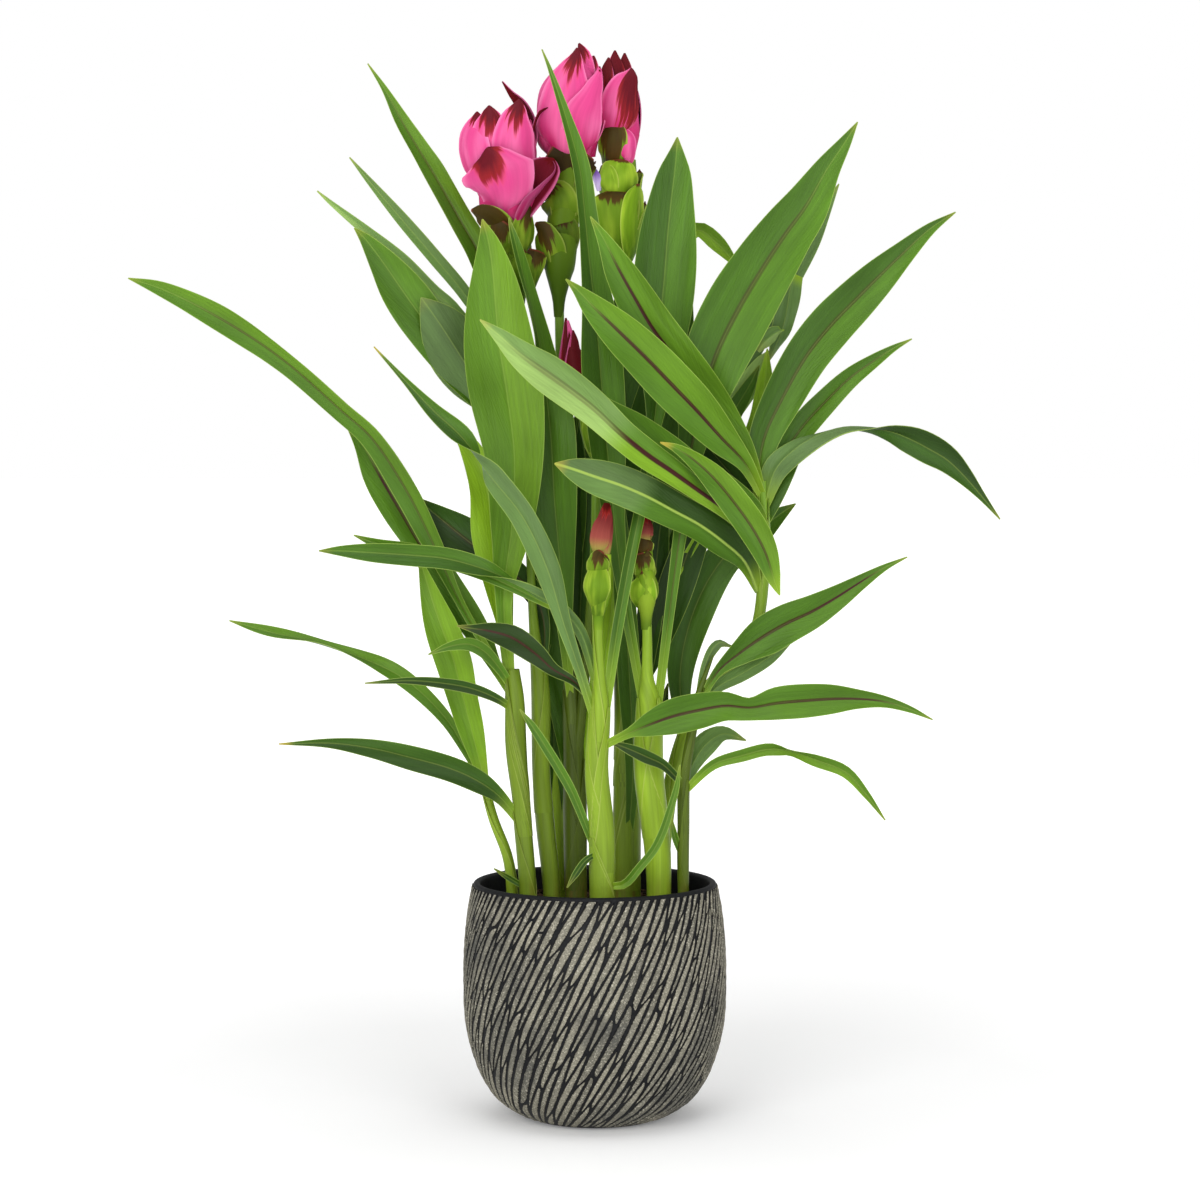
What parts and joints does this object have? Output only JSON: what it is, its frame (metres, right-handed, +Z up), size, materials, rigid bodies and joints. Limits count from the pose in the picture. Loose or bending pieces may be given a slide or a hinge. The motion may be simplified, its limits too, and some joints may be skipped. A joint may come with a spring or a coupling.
{
  "type": "potted siam tulip",
  "caption": "Siam tulip plant with arching leaves and pink-topped green flower spikes, standing in soil in a round pot with slanted carved strokes.",
  "frame": {"origin": "centre of the pot's flat foot, on the surface that it stands on", "axes": "+Z up through the pot's axis, -Y towards the side that the picture shows, +X to its right"},
  "size_m": [0.4949, 0.1614, 0.6173],
  "materials": {
    "leaf": "satin",
    "green_bract": "satin",
    "pink_bract": "satin",
    "violet_petal": "satin",
    "carved_stoneware": "matte",
    "potting_soil": "matte"
  },
  "bodies": {
    "root": {"shoot_left": "leaf", "shoot_left_front": "leaf", "shoot_left_inner": "leaf", "shoot_back_left": "leaf", "shoot_back_middle": "leaf", "shoot_front": "leaf", "shoot_front_right": "leaf", "shoot_right_low": "leaf", "shoot_right": "leaf", "shoot_back_right": "leaf", "bloom_left_spike": "green_bract", "bloom_left_coma": "pink_bract", "bloom_middle_spike": "green_bract", "bloom_middle_coma": "pink_bract", "bloom_right_spike": "green_bract", "bloom_right_coma": "pink_bract", "bud_high_spike": "green_bract", "bud_high_coma": "pink_bract", "bud_front_spike": "green_bract", "bud_front_coma": "pink_bract", "bud_right_spike": "green_bract", "bud_right_coma": "pink_bract", "flower": "violet_petal", "pot": "carved_stoneware", "soil": "potting_soil"}
  },
  "joints": []
}
